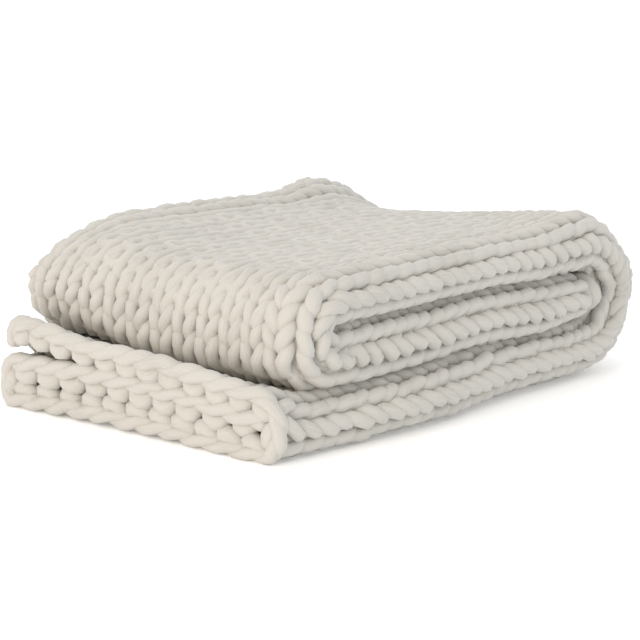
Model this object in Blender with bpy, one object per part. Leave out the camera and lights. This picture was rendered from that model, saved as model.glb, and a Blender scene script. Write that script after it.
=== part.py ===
"""Folded chunky knit blanket.

A hand-knitted blanket of thick wool lies folded on a surface. Its sides are turned in over each
other, so the cloth lies in three layers, and the long strip that this gives is folded back over
itself twice, into three passes. The last pass is tucked inside the first turn.

The model follows the real thing: the cloth is laid out flat, as a slab with a rib for each column of
stitches, and each of its corners is then carried to where the folds bring it. Metres, +Z up. The
origin is under the middle of the bundle: the strip runs along X, from the bind-off edge at -X to the
first turn at +X. The turned-in side is at -Y.
"""

from collections import namedtuple
from math import pi

import bmesh
import bpy
import numpy as np

# The folded bundle
LENGTH = 0.540          # from the bind-off edge to the first turn of the strip
WIDTH = 0.350           # of the strip
PLY = 0.0175            # from the middle of one layer of cloth to the middle of the next
CLOTH = 0.0155          # thickness of the knitted cloth
PASS = 3 * PLY          # height of one pass of the strip
SETBACK = 0.035         # the second turn stands this far behind the bind-off edge
TUCK_IN = 0.0137        # the inner side edge stops this far short of the near turn
TUCK_FREE = 0.006       # the outer side edge stops this far short of the far side
REACH_PAST = 0.008      # the cast-on edge reaches this far into the first turn

# The knitting
COLUMNS = 35            # columns of stitches across the blanket
COLUMN_START = 0.75     # of a column, from the inner side edge to the first groove
GROOVE = 0.0035         # depth of the grooves between the columns
LEVEL_FLAT = 0.12       # share of a pass above the surface where the grooves start
LEVEL_RIBBED = 0.35     # share of a pass above the surface where they have their full depth

# Corners of the slab along each straight and each turn of the strip
STEPS_STRAIGHT = 6
STEPS_TURN = 6
# Corners of the slab across the inner layer, round the far turn and across the free layer
STEPS_INNER = 6
STEPS_FAR_TURN = 5
STEPS_FREE = 7
STEPS_COLUMN = 2        # across a column of the outer layer
STEPS_COLUMN_TURN = 4   # across a column that goes round the near turn

WOOL = (0.71, 0.67, 0.60, 1.0)      # linear colour of the off-white yarn
WOOL_ROUGHNESS = 0.95

# Where the turns of the cloth begin, measured to the middle of its thickness
NEAR = -WIDTH / 2 + PLY + CLOTH / 2
FAR = WIDTH / 2 - PLY / 2 - CLOTH / 2
LEFT = -LENGTH / 2 + SETBACK + PASS / 2 + PLY + CLOTH / 2
RIGHT = LENGTH / 2 - PASS - PLY - CLOTH / 2

# A leg is a straight and the half turn that follows it: turn is 1 to the left, -1 to the right, 0 for
# none, and slack is how much the wool stretches round it, as an increase of its radius.
Leg = namedtuple("Leg", "straight turn radius slack")
ACROSS = [
    Leg(FAR - NEAR - TUCK_IN, -1, PLY / 2, 0.002),      # inner layer, then the far turn
    Leg(FAR - NEAR, -1, PLY, 0.000),                    # outer layer, then the near turn
    Leg(WIDTH / 2 - TUCK_FREE - NEAR, 0, 0, 0),         # free layer
]
ALONG = [
    Leg(RIGHT + LENGTH / 2, 1, PASS, 0),                # bottom pass, then the first turn
    Leg(RIGHT - LEFT, 1, PASS / 2, 0),                  # top pass, then the second turn
    Leg(RIGHT + REACH_PAST - LEFT, 0, 0, 0),            # middle pass
]

# How the soft bundle swells and sags: at x, y and out to about twice the spread, the underside and
# the tops of the bottom, middle and top passes lie this much higher.
Hump = namedtuple("Hump", "x y spread_x spread_y underside bottom middle top")
HUMPS = [
    Hump(-0.275, 0.030, 0.035, 0.120, 0.006, 0.000, 0.000, 0.000),     # bind-off edge, off the surface
    Hump(-0.275, 0.050, 0.050, 0.300, 0.000, 0.017, 0.000, 0.000),     # loose layers at that edge
    Hump(-0.275, 0.000, 0.060, 0.160, 0.000, 0.009, 0.000, 0.000),     # and looser in its middle
    Hump(-0.130, -0.175, 0.120, 0.100, 0.000, 0.000, 0.006, 0.000),    # near side, left-hand half
    Hump(0.040, -0.175, 0.085, 0.100, 0.000, 0.004, 0.0075, 0.000),    # its middle
    Hump(-0.080, -0.175, 0.110, 0.050, 0.004, 0.000, 0.000, 0.000),    # its foot, off the surface
    Hump(0.140, -0.175, 0.110, 0.070, 0.006, 0.000, 0.000, 0.000),     # and further off at the right
    Hump(-0.170, 0.150, 0.120, 0.100, 0.000, 0.010, 0.012, 0.012),     # far end of the second turn
    Hump(-0.235, 0.185, 0.070, 0.080, 0.000, 0.000, -0.004, -0.030),   # its corner, rounded off
    Hump(0.000, 0.180, 0.110, 0.090, 0.000, 0.000, 0.004, 0.015),      # far side
    Hump(0.155, 0.190, 0.060, 0.065, 0.000, 0.000, 0.004, 0.025),      # far right-hand corner
    Hump(0.250, 0.080, 0.075, 0.090, 0.000, 0.000, -0.005, -0.034),    # dip in the first turn
    Hump(0.280, -0.125, 0.050, 0.120, 0.000, 0.000, 0.000, -0.044),    # its near half, rounded off
    Hump(0.205, -0.140, 0.065, 0.080, 0.000, 0.003, 0.003, 0.010),     # near end of the first turn
]
FLAP_X, FLAP_Y = -0.270, 0.175      # free corner of the bottom pass, whose top layer lifts off
FLAP_SPREAD_X, FLAP_SPREAD_Y = 0.035, 0.080
FLAP_LIFT = 0.0155
FLAP_LEVELS = (0.62, 0.70)          # the gap that opens, between the second layer and the third
END_X, END_Y = 0.235, -0.175        # the end of the middle pass is squeezed thinner, most at the near side
END_SPREAD_X, END_SPREAD_Y = 0.075, 0.500
END_RISE, END_DROP = 0.010, 0.005   # its underside rises this far, its top comes down
GAP_BELOW, GAP_ABOVE = (0.98, 1.02), (1.98, 2.02)       # where the other passes lie against it
LEAN = 0.006                        # the first turn leans out this far at its top, in at its foot
SWELL = 0.007                       # and it swells out this far half way up
BULGE_X, BULGE_SPREAD, BULGE = -0.080, 0.110, 0.014      # the bottom pass swells on the near side
BULGE_LEVELS = (0.6, 1.3)
SKEW_BOTTOM, SKEW_UPPER = 0.008, 0.003      # the left-hand end spreads on the far side
SKEW_FROM, SKEW_TO = 0.020, -0.200
# The second turn is fuller near its foot, but not on the far side.
FOOT, FOOT_LEVELS = 0.016, (1.0, 1.15, 2.0)


def ease(start, end, value):
    """0 at start, 1 at end, and a smooth rise between them."""
    share = np.clip((value - start) / (end - start), 0, 1)
    return share * share * (3 - 2 * share)


def bell(distance_squared):
    """1 in the middle and exactly 0 from two spreads away."""
    return np.clip(1 - distance_squared / 4, 0, 1) ** 4


def leg_ends(legs, off=0.0):
    """Lengths from the start of the legs to each end of a straight or a turn, off to their left."""
    ends = [0.0 * off]
    for leg in legs:
        ends.append(ends[-1] + leg.straight)
        if leg.turn:
            ends.append(ends[-1] + pi * (leg.radius + leg.slack - leg.turn * off))
    return ends


def follow(legs, start, share, off):
    """Places at shares of the way along the legs, off to their left, and the directions to the left.

    The way is as long as it is at that offset, so a turn to the left is shorter there.
    """
    bends = [pi * (leg.radius + leg.slack - leg.turn * off) * abs(leg.turn) for leg in legs]
    rest = share * sum(leg.straight + bend for leg, bend in zip(legs, bends))
    u, v = start
    heading = 1
    turned = 0
    for leg, bend in zip(legs, bends):
        u = u + heading * np.clip(rest, 0, leg.straight)
        if leg.turn:
            angle = pi * np.clip((rest - leg.straight) / bend, 0, 1)
            u = u + heading * leg.radius * np.sin(angle)
            v = v + heading * leg.turn * leg.radius * (1 - np.cos(angle))
            turned = turned + leg.turn * angle
            heading = -heading
        rest = rest - leg.straight - bend
    left_u, left_v = -np.sin(turned), np.cos(turned)
    return u + off * left_u, v + off * left_v, left_u, left_v


def beside(along, height):
    """Share along for a layer at this height, so that its corners lie beside those of the middle one."""
    middle = leg_ends(ALONG)
    here = leg_ends(ALONG, height)
    level = 0
    for k in range(len(middle) - 1):
        part = np.clip((along * middle[-1] - middle[k]) / (middle[k + 1] - middle[k]), 0, 1)
        level = level + part * (here[k + 1] - here[k])
    return level / here[-1]


def fold(along, across, out):
    """Where the folds bring a spot of the cloth, out metres from its middle towards the knit face."""
    y, height, out_y, out_height = follow(ACROSS, (NEAR + TUCK_IN, 0), across, 0 * across)
    height = height + out * out_height
    x, z, _, _ = follow(ALONG, (-LENGTH / 2, PASS / 2), beside(along, height), height)
    return x, y + out * out_y, z


def settle(x, y, z):
    """Soften the folded bundle: swell, sag, bulge, lean and lift its passes."""
    level = np.clip(z / PASS, 0, 3)
    for hump in HUMPS:
        lifts = (hump.underside, hump.bottom, hump.middle, hump.top)
        lift = sum(np.clip(1 - abs(level - k), 0, 1) * value for k, value in enumerate(lifts))
        z = z + lift * bell(((x - hump.x) / hump.spread_x) ** 2 + ((y - hump.y) / hump.spread_y) ** 2)
    flap = bell(((x - FLAP_X) / FLAP_SPREAD_X) ** 2 + ((y - FLAP_Y) / FLAP_SPREAD_Y) ** 2)
    z = z + FLAP_LIFT * flap * ease(*FLAP_LEVELS, level)
    end = bell(((x - END_X) / END_SPREAD_X) ** 2 + ((y - END_Y) / END_SPREAD_Y) ** 2)
    z = z + END_RISE * end * (ease(*GAP_BELOW, level) - ease(1.1, 1.95, level))
    z = z - END_DROP * end * (ease(1.1, 1.95, level) - ease(*GAP_ABOVE, level))
    bulge = bell(((x - BULGE_X) / BULGE_SPREAD) ** 2) * ease(0, -WIDTH / 2, y)
    skew = (SKEW_BOTTOM + SKEW_UPPER * ease(1, 1.5, level)) * ease(SKEW_FROM, SKEW_TO, x)
    y = y - BULGE * bulge * (1 - ease(*BULGE_LEVELS, level)) + skew * ease(0, WIDTH / 2, y)
    sway = LEAN * (level / 1.5 - 1) + SWELL * np.sin(pi * level / 3)
    x = x + sway * ease(RIGHT / 2, LENGTH / 2, x)
    low, full, high = FOOT_LEVELS
    foot = FOOT * (ease(low, full, level) - ease(full, high, level)) * ease(WIDTH / 2, 0, y)
    x = x - foot * ease(LEFT, -LENGTH / 2 + SETBACK, x)
    return x, y, z


def stops_across():
    """Shares across the cloth where the slab has corners: closer where its columns show."""
    ends = leg_ends(ACROSS)
    column = ends[-1] / COLUMNS
    inner = np.linspace(0, ends[1], STEPS_INNER + 1)
    far_turn = np.linspace(ends[1], ends[2], STEPS_FAR_TURN + 1)
    flat = np.arange(COLUMN_START, COLUMNS, 1 / STEPS_COLUMN) * column
    turned = np.arange(COLUMN_START, COLUMNS, 1 / STEPS_COLUMN_TURN) * column
    outer = flat[(flat > ends[2] + column / 4) & (flat < ends[3])]
    near_turn = turned[(turned >= ends[3]) & (turned <= ends[4])]
    free = np.linspace(near_turn[-1], ends[5], STEPS_FREE + 1)
    stops = np.concatenate([inner, far_turn[1:], outer, near_turn, free[1:]])
    return np.unique(stops.round(6)) / ends[-1]


def stops_along():
    """Shares along the cloth where the slab has corners."""
    ends = leg_ends(ALONG)
    stops = [0.0]
    for k in range(len(ends) - 1):
        steps = STEPS_TURN if k % 2 else STEPS_STRAIGHT
        stops.extend(np.linspace(ends[k], ends[k + 1], steps + 1)[1:])
    return np.array(stops) / ends[-1]


def groove(along, across):
    """Depth of the knit face below its ribs: none on the hidden layers or where the bundle rests."""
    _, _, z = fold(along, across, CLOTH / 2 + 0 * along)
    depth = GROOVE * ease(LEVEL_FLAT, LEVEL_RIBBED, z / PASS)
    ends = leg_ends(ACROSS)
    outside = (across * ends[-1] > ends[2]) & (across * ends[-1] < ends[4])
    return depth * outside * (0.5 + 0.5 * np.cos(2 * pi * (COLUMNS * across - COLUMN_START)))


def make_blanket(collection, material):
    """Lay the cloth out as a flat slab of squares, then carry its corners to where they lie folded."""
    along, across = stops_along(), stops_across()
    slab = bmesh.new()
    bmesh.ops.create_grid(slab, x_segments=len(along) - 1, y_segments=len(across) - 1, size=0.5)
    raised = bmesh.ops.extrude_face_region(slab, geom=slab.faces[:])["geom"]
    knit_face = {item for item in raised if isinstance(item, bmesh.types.BMVert)}
    flat = np.array([(v.co.x + 0.5, v.co.y + 0.5, v in knit_face) for v in slab.verts])
    at_along = along[(flat[:, 0] * (len(along) - 1)).round().astype(int)]
    at_across = across[(flat[:, 1] * (len(across) - 1)).round().astype(int)]
    out = np.where(flat[:, 2] > 0, CLOTH / 2 - groove(at_along, at_across), -CLOTH / 2)
    corners = np.stack(settle(*fold(at_along, at_across, out)), axis=1)
    low, high = corners.min(axis=0), corners.max(axis=0)
    corners -= ((low[0] + high[0]) / 2, (low[1] + high[1]) / 2, low[2])
    for vert, corner in zip(slab.verts, corners):
        vert.co = corner
    bmesh.ops.recalc_face_normals(slab, faces=slab.faces)
    mesh = bpy.data.meshes.new("blanket")
    slab.to_mesh(mesh)
    slab.free()
    mesh.materials.append(material)
    mesh.shade_smooth()
    blanket = bpy.data.objects.new("blanket", mesh)
    collection.objects.link(blanket)
    return blanket


def make_wool():
    """Off-white wool: a plain matt surface."""
    material = bpy.data.materials.new("wool yarn")
    material.use_nodes = True
    surface = material.node_tree.nodes["Principled BSDF"]
    surface.inputs["Base Color"].default_value = WOOL
    surface.inputs["Roughness"].default_value = WOOL_ROUGHNESS
    surface.inputs["Metallic"].default_value = 0.0
    return material


def main():
    for item in list(bpy.data.objects):
        bpy.data.objects.remove(item)
    collection = bpy.data.collections.new("folded chunky knit blanket")
    bpy.context.scene.collection.children.link(collection)
    make_blanket(collection, make_wool())


main()
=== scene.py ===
"""Folded chunky knit blanket: its wool, its stitches and the way it lies.

The blanket is knitted in stocking stitch from thick wool. Its sides are turned in over each other,
so the cloth lies in three layers, and the long strip that this gives is folded back over itself
twice, into three passes. Each skein is one strand, laid out stitch by stitch on flat cloth, and each
spot of it is then carried to where the folds bring it. Metres, +Z up.
"""

from collections import namedtuple
from math import cos, pi, radians, sin

import bmesh
import bpy
import numpy as np
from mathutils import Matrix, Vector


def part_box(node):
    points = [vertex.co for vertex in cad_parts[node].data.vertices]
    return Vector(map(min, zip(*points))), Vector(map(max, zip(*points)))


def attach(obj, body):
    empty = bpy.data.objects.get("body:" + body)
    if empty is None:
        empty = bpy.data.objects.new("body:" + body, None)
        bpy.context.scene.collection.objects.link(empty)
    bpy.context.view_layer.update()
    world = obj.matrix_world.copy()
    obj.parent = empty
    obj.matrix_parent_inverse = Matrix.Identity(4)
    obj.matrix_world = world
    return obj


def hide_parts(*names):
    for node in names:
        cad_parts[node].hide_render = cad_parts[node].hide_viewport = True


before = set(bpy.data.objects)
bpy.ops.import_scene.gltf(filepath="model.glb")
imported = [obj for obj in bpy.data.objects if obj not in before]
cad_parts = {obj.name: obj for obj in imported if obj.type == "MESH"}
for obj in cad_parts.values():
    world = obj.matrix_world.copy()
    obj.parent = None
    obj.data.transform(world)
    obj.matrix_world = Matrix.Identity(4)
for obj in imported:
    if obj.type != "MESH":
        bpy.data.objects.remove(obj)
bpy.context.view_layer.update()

# The folded bundle, as in the solid
LENGTH = 0.540          # from the bind-off edge to the first turn of the strip
WIDTH = 0.350           # of the strip
PLY = 0.0175            # from the middle of one layer of cloth to the middle of the next
CLOTH = 0.0155          # thickness of the knitted cloth
LAYERS = 3              # of cloth in a pass of the strip
PASSES = 3              # of the strip in the bundle
PASS = LAYERS * PLY     # height of one pass
SETBACK = 0.035         # the second turn stands this far behind the bind-off edge
TUCK_IN = 0.0137        # the inner side edge stops this far short of the near turn
TUCK_FREE = 0.006       # the free side edge stops this far short of the far side
REACH_PAST = 0.008      # the cast-on edge reaches this far into the first turn

# Where the turns of the cloth begin, measured to the middle of its thickness
NEAR = -WIDTH / 2 + PLY + CLOTH / 2
FAR = WIDTH / 2 - PLY / 2 - CLOTH / 2
LEFT = -LENGTH / 2 + SETBACK + PASS / 2 + PLY + CLOTH / 2
RIGHT = LENGTH / 2 - PASS - PLY - CLOTH / 2

# A leg is a straight and the half turn that follows it: turn is 1 to the left, -1 to the right, 0 for
# none, and slack is how much the wool stretches round it, as an increase of its radius.
Leg = namedtuple("Leg", "straight turn radius slack")
ACROSS = [
    Leg(FAR - NEAR - TUCK_IN, -1, PLY / 2, 0.002),      # inner layer, then the far turn
    Leg(FAR - NEAR, -1, PLY, 0.000),                    # outer layer, then the near turn
    Leg(WIDTH / 2 - TUCK_FREE - NEAR, 0, 0, 0),         # free layer
]
ALONG = [
    Leg(RIGHT + LENGTH / 2, 1, PASS, 0),                # bottom pass, then the first turn
    Leg(RIGHT - LEFT, 1, PASS / 2, 0),                  # top pass, then the second turn
    Leg(RIGHT + REACH_PAST - LEFT, 0, 0, 0),            # middle pass
]

# How the soft bundle swells and sags: at x, y and out to about twice the spread, the underside and
# the tops of the bottom, middle and top passes lie this much higher.
Hump = namedtuple("Hump", "x y spread_x spread_y underside bottom middle top")
HUMPS = [
    Hump(-0.275, 0.030, 0.035, 0.120, 0.006, 0.000, 0.000, 0.000),     # bind-off edge, off the surface
    Hump(-0.275, 0.050, 0.050, 0.300, 0.000, 0.017, 0.000, 0.000),     # loose layers at that edge
    Hump(-0.275, 0.000, 0.060, 0.160, 0.000, 0.009, 0.000, 0.000),     # and looser in its middle
    Hump(-0.130, -0.175, 0.120, 0.100, 0.000, 0.000, 0.006, 0.000),    # near side, left-hand half
    Hump(0.040, -0.175, 0.085, 0.100, 0.000, 0.004, 0.0075, 0.000),    # its middle
    Hump(-0.080, -0.175, 0.110, 0.050, 0.004, 0.000, 0.000, 0.000),    # its foot, off the surface
    Hump(0.140, -0.175, 0.110, 0.070, 0.006, 0.000, 0.000, 0.000),     # and further off at the right
    Hump(-0.170, 0.150, 0.120, 0.100, 0.000, 0.010, 0.012, 0.012),     # far end of the second turn
    Hump(-0.235, 0.185, 0.070, 0.080, 0.000, 0.000, -0.004, -0.030),   # its corner, rounded off
    Hump(0.000, 0.180, 0.110, 0.090, 0.000, 0.000, 0.004, 0.015),      # far side
    Hump(0.155, 0.190, 0.060, 0.065, 0.000, 0.000, 0.004, 0.025),      # far right-hand corner
    Hump(0.250, 0.080, 0.075, 0.090, 0.000, 0.000, -0.005, -0.034),    # dip in the first turn
    Hump(0.280, -0.125, 0.050, 0.120, 0.000, 0.000, 0.000, -0.044),    # its near half, rounded off
    Hump(0.205, -0.140, 0.065, 0.080, 0.000, 0.003, 0.003, 0.010),     # near end of the first turn
]
# Levels below count the passes up from the surface: 0 is the surface and 3 is the top of the bundle.
# The free corner of the bottom pass, whose top layer lifts off the two below it
FLAP_LIFT = 0.0155
FLAP_X, FLAP_Y = -0.270, 0.175
FLAP_SPREAD_X, FLAP_SPREAD_Y = 0.035, 0.080
FLAP_LEVELS = (0.62, 0.70)          # where the gap opens
# The end of the middle pass is squeezed thinner, most at the near side
END_RISE, END_DROP = 0.010, 0.005   # its underside rises this far, and its top comes down this far
END_X, END_Y = 0.235, -0.175
END_SPREAD_X, END_SPREAD_Y = 0.075, 0.500
END_LEVELS = (1.1, 1.95)            # from what rises to what comes down
GAP_BELOW, GAP_ABOVE = (0.98, 1.02), (1.98, 2.02)       # where the other passes lie against it
# The first turn
LEAN = 0.006                        # it leans out this far at its top, in at its foot
SWELL = 0.007                       # and swells out this far half way up
# The bottom pass swells on the near side
BULGE, BULGE_X, BULGE_SPREAD = 0.014, -0.080, 0.110
BULGE_LEVELS = (0.6, 1.3)           # where the swelling fades
# The left-hand end spreads on the far side, this far at the bottom and so much more above it
SKEW_BOTTOM, SKEW_UPPER = 0.008, 0.003
SKEW_FROM, SKEW_TO = 0.020, -0.200
SKEW_LEVELS = (1.0, 1.5)
# The second turn is fuller near its foot, but not on the far side
FOOT, FOOT_LEVELS = 0.016, (1.0, 1.15, 2.0)
# The stitches there sink into the loose layer below them
SINK, SINK_X, SINK_Y = 0.009, -0.215, -0.020
SINK_SPREAD_X, SINK_SPREAD_Y = 0.030, 0.090
SINK_STARTS, SINK_ENDS = (0.50, 0.95), (1.2, 2.2)

# The knitting
COLUMNS = 35            # columns of stitches across the blanket
ROWS = 77               # rows from the bind-off edge back to the cast-on edge
SKEINS = 7              # skeins of wool, used up one after the other
DRIFT = 0.28            # of a column, that the columns in the middle of the cloth lie further across
INNER_REACH = 0.008     # the inner side edge reaches this much further into the near turn
INNER_COLUMNS = 3       # so many columns are stretched for it
CROWD, CROWD_SPREAD = 0.50, 0.090   # how much closer the rows are in the first turn, and how far round
CROWD_SAMPLES = 500     # spots along the cloth from which the rows are spaced
STRAND = 0.0064         # radius of the strand
STRAND_ROUND = 2        # bevel resolution of a strand, which gives it eight sides
LOOP_HALF = 0.0175      # half the height of a loop, which reaches into the rows above and below
LOOP_DEPTH = 0.0044     # how far its sides stand out of the middle of the cloth, and its ends behind
DEPTH_HIDDEN = 0.0030   # the same, where the layers press on each other
DEPTH_FLAT = 0.0009     # the same on the flat top of the bundle
LOOP_LEAN = 0.0012      # the foot of a loop lies this far in front of its middle, its head behind
# One side of each loop is pulled tight: a short plump slanting lump. Its other side is slack and lies
# along its column, so that those of a column join into a smooth band.
BOW_TIGHT, BOW_SLACK = 0.0070, 0.0036       # how far the sides of a loop bow out, sideways
PROUD = 0.0006          # how much further the tight side stands out, and the slack side less
PLUMP, WIDE = 0.12, 0.10        # thicker in the middle of the tight side, and all along the other
EVEN = 0.50             # how flat the band of slack sides is: 1 would be as wavy as the tight sides
TOP_PLUMP, TOP_SUNK = 0.25, 0.0018      # the strand spreads and sinks on the flat top of the bundle
TOP_FADE = 0.050        # how far the smoothness of the top goes on round the turns of the strip
TOP_FADE_NEAR = 3       # columns before the near turn of the cloth where it starts to fade
HEAD_DEPTH = 0.0044     # the heads at the bind-off edge lie this far behind the middle of the cloth
HEAD_PLUMP = 0.32       # how much thicker the strand is there
EDGE_ROOM = 0.0062      # from the edge of the cloth to the middle of its outermost strand
BEND_OUT = 0.3          # of the strand's radius, that it bends out past the side edge from row to row
# How far the rows of the layers keep beside each other, at some lengths along the cloth: 1 is wholly,
# and 0 leaves each row at its share of its own layer's length
RADIAL_AT = (0.00, 0.48, 0.64, 1.00, 1.06, 1.22)
RADIAL = (-0.6, 0.2, 0.4, -0.3, -0.3, 1.4)

# The loops are looser and fuller at the near corner of the second turn
LOOSE_ALONG, LOOSE_ACROSS = 1.035, 0.615
LOOSE_SPREAD_ALONG, LOOSE_SPREAD_ACROSS = 0.045, 0.032
LOOSE_DEPTH, LOOSE_BOW, LOOSE_STRAND = 0.50, 0.10, 0.10

# How much the stitches vary at most, one from the next
VARY_ALONG, VARY_ACROSS, VARY_OUT = 0.0018, 0.0012, 0.0008      # where a loop lies
VARY_HALF, VARY_BOW, VARY_DEPTH, VARY_STRAND = 0.09, 0.28, 0.25, 0.09   # its size, as shares
SEED = 11

# Which stitches show from outside the folds, and points of the strand in a stitch
STEPS_SEEN, STEPS_HIDDEN = 16, 8
SEEN_PAST_TURN = 1.0    # columns past the turns of the cloth
SEEN_AT_SIDE = 1.5      # columns at its free side edge
SEEN_AT_START, SEEN_AT_END = 3, 1       # rows at the bind-off edge and at the cast-on edge

# The edges: two strands, twisted once round each other in so many columns
Edge = namedtuple("Edge", "strand columns radius out past_along past_start past_end")
BIND_OFF = Edge(0.0065, 2.0, 0.0025, 0.0041, 0.000, 0.25, 0.05)
CAST_ON = Edge(0.0078, 7.0, 0.0012, 0.0005, 0.006, 0.00, 0.00)
EDGE_STEPS = 6          # points of a strand in a column
EDGE_ABREAST = 0.25     # columns from the side edge to where the two strands lie side by side
VARY_TWIST = 0.50       # radians, that their twist varies at most
VARY_SPREAD, VARY_PLY = 0.25, 0.10      # how much their distance and thickness do, as shares

# The free corner of the bottom pass curls under along its side edge
CURL_CLOTH = 0.016      # of the cloth's width goes into the curl
CURL_RADIUS = 0.0092
CURL_FADES = 0.110      # from the bind-off edge to where the curl has ended
CURL_LEAST = 0.001      # share of the curl that counts as none
DRAWN_IN, DRAWN_FROM = 0.0075, 0.090    # the edge draws in, and the cloth from this far inside it

# A sheet through the middle of the cloth: it closes the holes between the loops, and its darker wool
# is painted shade in them
GROUND = 0.004          # its thickness
GROUND_INSET = 0.004    # it stops this far inside the edges of the cloth
GROUND_GRID = (110, 80)     # squares along and across

PLACE_SAMPLES = 200     # spots along and across the cloth from which its place is found

# The camera: its azimuth and elevation in degrees, its lens, and a spot of the bundle in its view
AZIMUTH, ELEVATION = -48.6, 11.6
FOCAL = 3.90625         # focal length as a share of the view's width
SENSOR = 36.0           # width of the sensor in millimetres
NEAR_FOOT = (-LENGTH / 2, -WIDTH / 2, 0.0)      # the near corner of the bind-off edge
NEAR_FOOT_VIEW = (0.434375, 0.734375)           # its place in the view, from the top left-hand corner
NEAR_FOOT_DEPTH = 2.155                         # its distance along the line of sight

# The studio
FLOOR_REACH = 20.0      # from the middle of the floor to its sides
ROOM_LIGHT = 1.02       # strength of the pale room round the bundle
LAMPS_AIM = (0, 0, 0.1)     # the spot that both soft boxes face


def ease(start, end, value):
    """0 at start, 1 at end, and a smooth rise between them."""
    share = np.clip((value - start) / (end - start), 0, 1)
    return share * share * (3 - 2 * share)


def bell(distance_squared):
    """1 in the middle and exactly 0 from two spreads away. Distances are in spreads."""
    return np.clip(1 - distance_squared / 4, 0, 1) ** 4


def leg_ends(legs, off=0.0):
    """Lengths from the start of the legs to each end of a straight or a turn, off to their left."""
    ends = [0 * off]
    for leg in legs:
        ends.append(ends[-1] + leg.straight)
        if leg.turn:
            ends.append(ends[-1] + pi * (leg.radius + leg.slack - leg.turn * off))
    return ends


def follow(legs, start, share, off):
    """Places at shares of the way along the legs, off to their left, and the directions to the left.

    The way is as long as it is at that offset, so a turn to the left is shorter there. It runs
    straight on past its two ends.
    """
    bends = [pi * (leg.radius + leg.slack - leg.turn * off) * abs(leg.turn) for leg in legs]
    rest = share * sum(leg.straight + bend for leg, bend in zip(legs, bends))
    u, v = start
    u = u + np.minimum(rest, 0)
    heading = 1
    turned = 0
    for leg, bend in zip(legs, bends):
        u = u + heading * np.clip(rest, 0, leg.straight)
        if leg.turn:
            angle = pi * np.clip((rest - leg.straight) / bend, 0, 1)
            u = u + heading * leg.radius * np.sin(angle)
            v = v + heading * leg.turn * leg.radius * (1 - np.cos(angle))
            turned = turned + leg.turn * angle
            heading = -heading
        rest = rest - leg.straight - bend
    u = u + heading * np.maximum(rest, 0)
    left_u, left_v = -np.sin(turned), np.cos(turned)
    return u + off * left_u, v + off * left_v, left_u, left_v


def beside(along, height):
    """Share along for a layer at this height, so that its rows keep beside those of the middle one."""
    middle = leg_ends(ALONG)
    here = leg_ends(ALONG, height)
    level = 0
    for k in range(len(middle) - 1):
        part = np.clip((along * middle[-1] - middle[k]) / (middle[k + 1] - middle[k]), 0, 1)
        level = level + part * (here[k + 1] - here[k])
    radial = np.interp(along * middle[-1], RADIAL_AT, RADIAL)
    return along + radial * (level / here[-1] - along)


def fold(along, across, out):
    """Where the folds bring a spot of the cloth, out metres from its middle towards the knit face."""
    y, height, out_y, out_height = follow(ACROSS, (NEAR + TUCK_IN, 0), across, 0 * across)
    x, z, left_x, left_z = follow(ALONG, (-LENGTH / 2, PASS / 2), beside(along, height), height)
    return x + out * out_height * left_x, y + out * out_y, z + out * out_height * left_z


def settle(x, y, z):
    """Soften the folded bundle: swell, sag, bulge, lean and lift its passes."""
    level = np.clip(z / PASS, 0, PASSES)
    for hump in HUMPS:
        lifts = (hump.underside, hump.bottom, hump.middle, hump.top)
        lift = sum(np.clip(1 - abs(level - k), 0, 1) * value for k, value in enumerate(lifts))
        z = z + lift * bell(((x - hump.x) / hump.spread_x) ** 2 + ((y - hump.y) / hump.spread_y) ** 2)
    flap = bell(((x - FLAP_X) / FLAP_SPREAD_X) ** 2 + ((y - FLAP_Y) / FLAP_SPREAD_Y) ** 2)
    z = z + FLAP_LIFT * flap * ease(*FLAP_LEVELS, level)
    end = bell(((x - END_X) / END_SPREAD_X) ** 2 + ((y - END_Y) / END_SPREAD_Y) ** 2)
    z = z + END_RISE * end * (ease(*GAP_BELOW, level) - ease(*END_LEVELS, level))
    z = z - END_DROP * end * (ease(*END_LEVELS, level) - ease(*GAP_ABOVE, level))
    bulge = bell(((x - BULGE_X) / BULGE_SPREAD) ** 2) * ease(0, -WIDTH / 2, y)
    skew = (SKEW_BOTTOM + SKEW_UPPER * ease(*SKEW_LEVELS, level)) * ease(SKEW_FROM, SKEW_TO, x)
    y = y - BULGE * bulge * (1 - ease(*BULGE_LEVELS, level)) + skew * ease(0, WIDTH / 2, y)
    sway = LEAN * (2 * level / PASSES - 1) + SWELL * np.sin(pi * level / PASSES)
    x = x + sway * ease(RIGHT / 2, LENGTH / 2, x)
    low, full, high = FOOT_LEVELS
    foot = FOOT * (ease(low, full, level) - ease(full, high, level)) * ease(WIDTH / 2, 0, y)
    x = x - foot * ease(LEFT, -LENGTH / 2 + SETBACK, x)
    sunk = bell(((x - SINK_X) / SINK_SPREAD_X) ** 2 + ((y - SINK_Y) / SINK_SPREAD_Y) ** 2)
    z = z - SINK * sunk * (ease(*SINK_STARTS, level) - ease(*SINK_ENDS, level))
    return x, y, z


# Where the turns start and end on the flat cloth, and how wide and how long it is
_, FAR_STARTS, FAR_ENDS, NEAR_STARTS, NEAR_ENDS, CLOTH_WIDTH = leg_ends(ACROSS)
_, FIRST_STARTS, FIRST_ENDS, SECOND_STARTS, SECOND_ENDS, CLOTH_LENGTH = leg_ends(ALONG)
COLUMN = CLOTH_WIDTH / COLUMNS


def space_rows():
    """Where each row lies along the cloth: closer together where the first turn squeezes them."""
    end = EDGE_ROOM + LOOP_HALF
    along = np.linspace(end, CLOTH_LENGTH - end, CROWD_SAMPLES)
    crowd = 1 + CROWD * bell(((along - (FIRST_STARTS + FIRST_ENDS) / 2) / CROWD_SPREAD) ** 2)
    so_far = np.cumsum(crowd) - crowd[0]
    return np.interp(np.linspace(0, so_far[-1], ROWS), so_far, along)


ROW_PLACES = space_rows()
ROW_HEIGHTS = np.gradient(ROW_PLACES)


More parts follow.
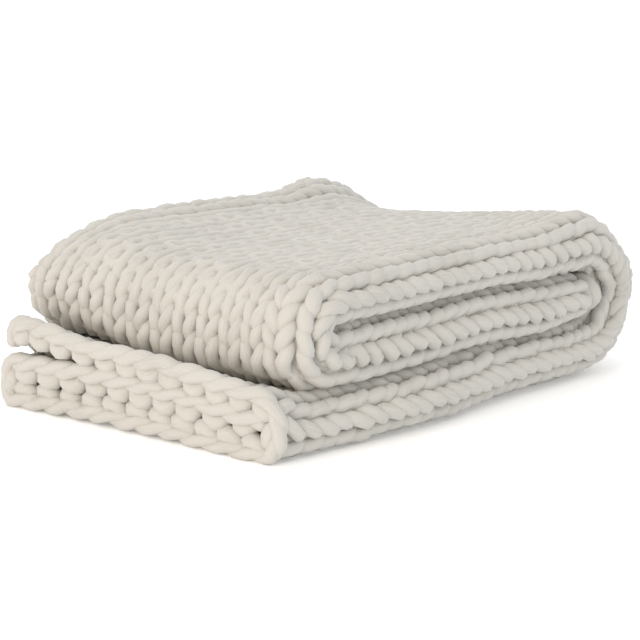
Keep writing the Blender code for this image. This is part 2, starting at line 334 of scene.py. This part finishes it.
def curl(along, across, out):
    """How far a spot moves across and up where the free corner curls under."""
    curled = 1 - ease(0, CURL_FADES, along)
    radius = CURL_RADIUS / np.maximum(curled, CURL_LEAST)
    past = np.maximum(across - (CLOTH_WIDTH - CURL_CLOTH), 0)
    angle = past / radius
    drawn = DRAWN_IN * curled * ease(CLOTH_WIDTH - DRAWN_FROM, CLOTH_WIDTH, across)
    return (radius + out) * np.sin(angle) - past - drawn, (radius + out) * (np.cos(angle) - 1)


def lay(along, across, out):
    """Carry spots of the flat cloth to where they lie in the bundle, before it is put in its place."""
    x, y, z = settle(*fold(along / CLOTH_LENGTH, across / CLOTH_WIDTH, out))
    aside, lift = curl(along, across, out)
    return np.stack([x, y + aside, z + lift], axis=-1)


def find_place():
    """How far the laid bundle is moved so that it lies where the solid does."""
    along, across = np.meshgrid(np.linspace(0, CLOTH_LENGTH, PLACE_SAMPLES),
                                np.linspace(0, CLOTH_WIDTH, PLACE_SAMPLES))
    faces = [lay(along, across, side * CLOTH / 2).reshape(-1, 3) for side in (-1, 1)]
    spots = np.concatenate(faces)
    low, high = spots.min(axis=0), spots.max(axis=0)
    cad_low, cad_high = (np.array(corner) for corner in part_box("blanket"))
    middle = (cad_low + cad_high) / 2 - (low + high) / 2
    return np.array((middle[0], middle[1], cad_low[2] - low[2]))


PLACE = find_place()


def seen(along, across):
    """Whether the stitches at these spots of the flat cloth show from outside the bundle."""
    past = SEEN_PAST_TURN * COLUMN
    turns = (across > NEAR_STARTS - past) & (across < NEAR_ENDS + past)
    turns |= (across > FAR_STARTS - past) & (across < FAR_ENDS + past)
    side = across > CLOTH_WIDTH - SEEN_AT_SIDE * COLUMN
    outside = (across > FAR_ENDS) & (across < NEAR_STARTS)
    outside &= (along > FIRST_STARTS - 2 * LOOP_HALF) & (along < SECOND_ENDS)
    ends = (along < ROW_PLACES[SEEN_AT_START]) | (along > ROW_PLACES[-1 - SEEN_AT_END])
    return turns | side | outside | ends


def place_column(turn):
    """Where a spot lies across the cloth, turn columns from its inner side edge."""
    drift = COLUMN * DRIFT * np.sin(pi * turn / COLUMNS)
    return COLUMN * turn + drift - INNER_REACH * (1 - ease(0, INNER_COLUMNS, turn))


def on_top(along, across):
    """How far spots of the flat cloth are part of the flat top of the bundle, from 0 to 1."""
    starts, fades = FIRST_ENDS - TOP_FADE, NEAR_STARTS - TOP_FADE_NEAR * COLUMN
    lengthwise = ease(starts, FIRST_ENDS, along) - ease(SECOND_STARTS, SECOND_STARTS + TOP_FADE, along)
    crosswise = ease(FAR_ENDS, FAR_ENDS + COLUMN, across) - ease(fades, NEAR_STARTS + COLUMN, across)
    return lengthwise * crosswise


def wander(rng, count, spread, samples):
    """A smooth random course: a new value at each whole number up to count, read at the samples."""
    stops = rng.uniform(-spread, spread, count + 2)
    at = np.clip(samples, 0, count)
    low = at.astype(int)
    part = at - low
    part = part * part * (3 - 2 * part)
    return stops[low] * (1 - part) + stops[low + 1] * part


def knit_row(row, rng):
    """One row of stitches on the flat cloth: along, across, out and the strand's radius.

    In each column the strand goes from the foot of a loop along its slack side, round its head and
    back along its tight side. The sides lie out from the middle of the cloth, the foot and the head
    behind it.
    """
    columns = np.arange(COLUMNS) + 0.5
    middle = ROW_PLACES[row]
    fine = seen(middle + 0 * columns, columns * COLUMN)
    steps = np.where(fine, STEPS_SEEN, STEPS_HIDDEN)
    turn = [k + np.arange(count) / count for k, count in enumerate(steps)]
    turn = np.concatenate(turn + [[COLUMNS]])
    theta = 2 * pi * turn
    shows = np.interp(turn, columns, fine.astype(float))
    top = on_top(middle, COLUMN * turn)
    head = ease(0, 1, -np.cos(theta)) if row == 0 else 0.0
    loose = bell(((middle - LOOSE_ALONG) / LOOSE_SPREAD_ALONG) ** 2
                 + ((COLUMN * turn - LOOSE_ACROSS) / LOOSE_SPREAD_ACROSS) ** 2)
    tight = 0.5 - 0.5 * np.sin(theta)
    tight = tight + (1 - tight) * loose

    half = LOOP_HALF * ROW_HEIGHTS[row] / ROW_HEIGHTS[0] * (1 + wander(rng, COLUMNS, VARY_HALF, turn))
    along = middle + half * np.cos(theta) + wander(rng, COLUMNS, VARY_ALONG, turn)
    bow = (BOW_SLACK + (BOW_TIGHT - BOW_SLACK) * tight) * (1 + wander(rng, COLUMNS, VARY_BOW, turn))
    bow = bow * (1 + LOOSE_BOW * loose)
    across = place_column(turn) + bow * np.sin(2 * theta) + wander(rng, COLUMNS, VARY_ACROSS, turn)

    depth = DEPTH_HIDDEN + (LOOP_DEPTH - DEPTH_HIDDEN) * shows
    depth = depth + (DEPTH_FLAT - depth) * top
    depth = depth * (1 + wander(rng, 2 * COLUMNS, VARY_DEPTH, 2 * turn)) * (1 + LOOSE_DEPTH * loose)
    depth = depth + (HEAD_DEPTH - depth) * head
    wave = -np.cos(2 * theta)
    even = np.sign(wave) * np.abs(wave) ** EVEN
    out = depth * (even + (wave - even) * tight) + LOOP_LEAN * np.cos(theta)
    out = out + PROUD * (2 * tight - 1) * shows * (1 - top) - TOP_SUNK * top
    out = out + wander(rng, COLUMNS, VARY_OUT, turn)

    plump = (WIDE + (PLUMP * wave - WIDE) * tight) * (1 - top) + TOP_PLUMP * top + HEAD_PLUMP * head
    plump = plump + LOOSE_STRAND * loose
    radius = STRAND * (1 + plump + wander(rng, 2 * COLUMNS, VARY_STRAND, 2 * turn))
    spots = np.stack([along, across, out, radius], axis=1)
    return spots[::-1] if row % 2 else spots


def knit_skein(first, last, rng):
    """The strand of one skein: its rows one after the other, joined at the side edges."""
    parts = []
    for row in range(first, last):
        spots = knit_row(row, rng)
        if parts:
            before, after = parts[-1][-1], spots[0]
            bend = (before + after) / 2
            outwards = 1 if bend[1] > CLOTH_WIDTH / 2 else -1
            bend[1] += BEND_OUT * STRAND * outwards
            bend[2] += LOOP_DEPTH
            parts.append(bend[None, :])
        parts.append(spots)
    return np.concatenate(parts)


def twist(edge, along, phase, rng):
    """One of the two strands of an edge, with half a twist more round the near turn of the cloth."""
    stops = np.linspace(-edge.past_start, COLUMNS + edge.past_end, COLUMNS * EDGE_STEPS + 1)
    angle = 2 * pi * (stops - EDGE_ABREAST) / edge.columns + phase
    angle = angle + wander(rng, COLUMNS, VARY_TWIST, stops)
    angle = angle + pi * ease(NEAR_STARTS / COLUMN, NEAR_ENDS / COLUMN, stops)
    spread = edge.radius * (1 + wander(rng, COLUMNS, VARY_SPREAD, stops))
    spots_along = along + spread * np.cos(angle)
    spots_out = edge.out + spread * np.sin(angle)
    radius = edge.strand * (1 + wander(rng, COLUMNS, VARY_PLY, stops))
    return np.stack([spots_along, place_column(stops), spots_out, radius], axis=1)


def round_off(places, radii):
    """Close both ends of a strand with a round tip: rings that narrow as they reach out."""
    reach = np.array((0.35, 0.65, 0.85, 0.96, 0.999))       # of the radius
    first, last = places[0] - places[1], places[-1] - places[-2]
    first, last = first / np.linalg.norm(first), last / np.linalg.norm(last)
    before = places[0] + radii[0] * reach[::-1, None] * first
    after = places[-1] + radii[-1] * reach[:, None] * last
    thin = np.sqrt(1 - reach * reach)
    places = np.concatenate([before, places, after])
    return places, np.concatenate([radii[0] * thin[::-1], radii, radii[-1] * thin])


def spin_wool(name, strands, material):
    """Round strands through the laid spots, as one mesh with its length in metres in its UV map."""
    curve = bpy.data.curves.new(name, "CURVE")
    curve.dimensions = "3D"
    curve.bevel_depth = 1.0
    curve.bevel_resolution = STRAND_ROUND
    curve.use_fill_caps = True
    lengths = []
    for spots in strands:
        places = lay(spots[:, 0], spots[:, 1], spots[:, 2]) + PLACE
        places, radii = round_off(places, spots[:, 3])
        spline = curve.splines.new("POLY")
        spline.points.add(len(places) - 1)
        spline.points.foreach_set("co", np.column_stack([places, np.ones(len(places))]).ravel())
        spline.points.foreach_set("radius", radii)
        steps = np.linalg.norm(np.diff(places, axis=0), axis=1)
        lengths.append(np.concatenate([[0.0], np.cumsum(steps)]))
    holder = link(name, curve)
    graph = bpy.context.evaluated_depsgraph_get()
    mesh = bpy.data.meshes.new_from_object(holder.evaluated_get(graph))
    bpy.data.objects.remove(holder)
    bpy.data.curves.remove(curve)
    mesh.name = name
    measure_strand(mesh, lengths)
    rest_on_surface(mesh)
    mesh.materials.clear()
    mesh.materials.append(material)
    return link(name, mesh)


def link(name, data):
    """A new object in the scene with this mesh, curve, lamp or camera."""
    item = bpy.data.objects.new(name, data)
    bpy.context.scene.collection.objects.link(item)
    return item


def measure_strand(mesh, lengths):
    """Turn the UV map's shares, of the points and of the way round, into metres of strand."""
    layer = mesh.uv_layers[0]
    uv = np.empty(2 * len(mesh.loops), np.float32)
    layer.data.foreach_get("uv", uv)
    uv = uv.reshape(-1, 2)
    uv[:, 0] = np.interp(uv[:, 0], np.linspace(0, 1, len(lengths[0])), lengths[0])
    uv[:, 1] *= 2 * pi * STRAND
    layer.data.foreach_set("uv", uv.ravel())


def rest_on_surface(mesh):
    """Press flat whatever would sink into the surface below the bundle."""
    places = np.empty(3 * len(mesh.vertices), np.float32)
    mesh.vertices.foreach_get("co", places)
    places = places.reshape(-1, 3)
    places[:, 2] = np.maximum(places[:, 2], 0.0)
    mesh.vertices.foreach_set("co", places.ravel())
    mesh.update()


def order_faces(slab):
    """Sort the faces by their first and last corners, so that each run gives the same mesh."""
    slab.verts.index_update()
    corners = {face: [vert.index for vert in face.verts] for face in slab.faces}
    count = len(slab.verts)
    slab.faces.sort(key=lambda face: min(corners[face]) * count + max(corners[face]))


def make_ground(material):
    """A sheet through the middle of the cloth, behind the loops: it closes the holes between them, and
    its darker wool is painted shade there.
    """
    slab = bmesh.new()
    bmesh.ops.create_grid(slab, x_segments=GROUND_GRID[0], y_segments=GROUND_GRID[1], size=0.5)
    raised = bmesh.ops.extrude_face_region(slab, geom=slab.faces[:])["geom"]
    upper = {item for item in raised if isinstance(item, bmesh.types.BMVert)}
    flat = np.array([(v.co.x + 0.5, v.co.y + 0.5, v in upper) for v in slab.verts])
    along = GROUND_INSET + flat[:, 0] * (CLOTH_LENGTH - 2 * GROUND_INSET)
    across = GROUND_INSET + flat[:, 1] * (CLOTH_WIDTH - 2 * GROUND_INSET)
    places = lay(along, across, GROUND * (flat[:, 2] - 0.5)) + PLACE
    for vert, place in zip(slab.verts, places):
        vert.co = place
    order_faces(slab)
    bmesh.ops.recalc_face_normals(slab, faces=slab.faces)
    mesh = bpy.data.meshes.new("knitted_cloth")
    slab.to_mesh(mesh)
    slab.free()
    mesh.materials.append(material)
    mesh.shade_smooth()
    return link("knitted_cloth", mesh)


def linear(code):
    """An sRGB hex colour as linear values."""
    parts = [int(code[k:k + 2], 16) / 255 for k in (0, 2, 4)]
    return tuple(p / 12.92 if p <= 0.04045 else ((p + 0.055) / 1.055) ** 2.4 for p in parts) + (1.0,)


def add(tree, kind, links=(), **settings):
    """Add a node, set its properties and sockets, and link sockets of others into its own."""
    node = tree.nodes.new(kind)
    for name, value in settings.items():
        setattr(node, name, value)
    for socket, source in dict(links).items():
        if isinstance(source, bpy.types.NodeSocket):
            tree.links.new(source, node.inputs[socket])
        else:
            node.inputs[socket].default_value = source
    return node


def start_material(name, settings):
    """A new material, and the surface in its node tree with these settings."""
    material = bpy.data.materials.new(name)
    material.use_nodes = True
    surface = material.node_tree.nodes["Principled BSDF"]
    for socket, value in settings.items():
        surface.inputs[socket].default_value = value
    return material, surface


def blend_colours(tree, share, low, high):
    """A ramp between two colours, each given as its place on the ramp and its hex code."""
    ramp = add(tree, "ShaderNodeValToRGB", {"Fac": share})
    for element, (place, code) in zip(ramp.color_ramp.elements, (low, high)):
        element.position = place
        element.color = linear(code)
    return ramp.outputs["Color"]


def make_roving():
    """Merino roving, lightly spun: matt, soft at its rim, with faint long fibres along the strand."""
    material, surface = start_material("ivory wool roving", {
        "Roughness": 0.90, "Sheen Weight": 0.25, "Sheen Roughness": 0.45, "Specular IOR Level": 0.20})
    tree = material.node_tree
    strand = add(tree, "ShaderNodeUVMap", uv_map="UVMap")
    # Streaks about 17 mm long and 1 mm wide: single fibres, 0.02 mm thick, are too fine to show
    fibres = add(tree, "ShaderNodeMapping", {"Vector": strand.outputs["UV"], "Scale": (60, 900, 1)})
    fibre = add(tree, "ShaderNodeTexNoise", {"Vector": fibres.outputs["Vector"], "Scale": 1.0,
                                             "Detail": 3.0, "Roughness": 0.6})
    # Patches about 70 mm wide, a shade lighter or darker, as undyed wool has
    spot = add(tree, "ShaderNodeTexCoord")
    patch = add(tree, "ShaderNodeTexNoise", {"Vector": spot.outputs["Object"], "Scale": 14.0,
                                             "Detail": 2.0})
    mixed = add(tree, "ShaderNodeMath", {0: fibre.outputs["Fac"], 1: patch.outputs["Fac"]},
                operation="ADD")
    colour = blend_colours(tree, mixed.outputs["Value"], (0.75, "BCBAB4"), (1.0, "C5C3BD"))
    relief = add(tree, "ShaderNodeBump", {"Height": fibre.outputs["Fac"], "Strength": 0.08,
                                          "Distance": 0.0005})
    tree.links.new(colour, surface.inputs["Base Color"])
    tree.links.new(relief.outputs["Normal"], surface.inputs["Normal"])
    return material


def make_gap_shade_wool():
    """Wool for the sheet deep in the cloth: the same fibre, dull, with 4 mm tufts, and a little darker
    as painted shade in the holes between the stitches.
    """
    material, surface = start_material("wool with painted gap shade", {"Roughness": 0.95, "Specular IOR Level": 0.10})
    tree = material.node_tree
    spot = add(tree, "ShaderNodeTexCoord")
    fluff = add(tree, "ShaderNodeTexNoise", {"Vector": spot.outputs["Object"], "Scale": 250.0,
                                             "Detail": 3.0})
    # a little darker than the strands: painted shade where the holes between the stitches show this
    # sheet
    colour = blend_colours(tree, fluff.outputs["Fac"], (0.0, "ABA8A0"), (1.0, "B9B6AE"))
    tree.links.new(colour, surface.inputs["Base Color"])
    return material


def make_paper():
    """White backdrop paper on a light table: plain and matt, with hardly a shadow on it."""
    material, _ = start_material("white backdrop paper", {
        "Base Color": linear("FBFBFB"), "Roughness": 0.9, "Specular IOR Level": 0.1,
        "Emission Color": linear("FFFFFF"), "Emission Strength": 0.15})
    return material


def add_camera():
    """The camera, on the line of sight through the near corner of the bind-off edge."""
    az, el = radians(AZIMUTH), radians(ELEVATION)
    right = np.array((cos(az), sin(az), 0))
    ahead = np.array((-sin(az) * cos(el), cos(az) * cos(el), -sin(el)))
    up = np.cross(right, ahead)
    aside = (NEAR_FOOT_VIEW[0] - 0.5) / FOCAL
    above = (0.5 - NEAR_FOOT_VIEW[1]) / FOCAL
    place = np.array(NEAR_FOOT) + PLACE - NEAR_FOOT_DEPTH * (ahead + aside * right + above * up)
    lens = bpy.data.cameras.new("camera")
    lens.sensor_width = SENSOR
    lens.lens = FOCAL * SENSOR
    lens.clip_end = 100
    camera = link("camera", lens)
    camera.location = place
    camera.rotation_euler = (pi / 2 - el, 0, az)
    bpy.context.scene.camera = camera


def add_lamp(name, place, size, power, colour):
    """A square soft box, turned towards the middle of the bundle."""
    lamp = bpy.data.lights.new(name, "AREA")
    lamp.shape = "SQUARE"
    lamp.size = size
    lamp.energy = power
    lamp.color = linear(colour)[:3]
    holder = link(name, lamp)
    holder.location = place
    away = np.array(place) - np.array(LAMPS_AIM)
    holder.rotation_euler = (np.arctan2(np.hypot(away[0], away[1]), away[2]), 0,
                             np.arctan2(away[0], -away[1]))


def add_studio():
    """White paper, an even pale room, a warm soft box on the left and a cool one overhead."""
    floor = bmesh.new()
    bmesh.ops.create_grid(floor, x_segments=1, y_segments=1, size=FLOOR_REACH)
    mesh = bpy.data.meshes.new("floor")
    floor.to_mesh(mesh)
    floor.free()
    mesh.materials.append(make_paper())
    paper = link("floor", mesh)
    world = bpy.data.worlds.new("studio")
    world.use_nodes = True
    backdrop = world.node_tree.nodes["Background"]
    backdrop.inputs["Color"].default_value = (1.0, 1.0, 1.0, 1.0)
    backdrop.inputs["Strength"].default_value = ROOM_LIGHT
    bpy.context.scene.world = world
    add_lamp("key", place=(-3.0, -0.4, 1.0), size=1.2, power=28, colour="FFE4C6")
    add_lamp("overhead", place=(0.3, 0.3, 3.0), size=2.4, power=9, colour="EEF4FF")
    bpy.context.scene.view_settings.view_transform = "Standard"


add_camera()
roving = make_roving()
rng = np.random.default_rng(SEED)
rows_a_skein = ROWS // SKEINS
pieces = []
for skein in range(SKEINS):
    strand = knit_skein(skein * rows_a_skein, (skein + 1) * rows_a_skein, rng)
    pieces.append(spin_wool(f"skein_{skein + 1}", [strand], roving))
edges = [("bind_off_edge", BIND_OFF, EDGE_ROOM - BIND_OFF.past_along),
         ("cast_on_edge", CAST_ON, CLOTH_LENGTH - EDGE_ROOM + CAST_ON.past_along)]
for name, edge, along in edges:
    pieces.append(spin_wool(name, [twist(edge, along, phase, rng) for phase in (0, pi)], roving))
ground = make_ground(make_gap_shade_wool())
for piece in [ground] + pieces:
    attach(piece, "root")
    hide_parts("blanket")
add_studio()
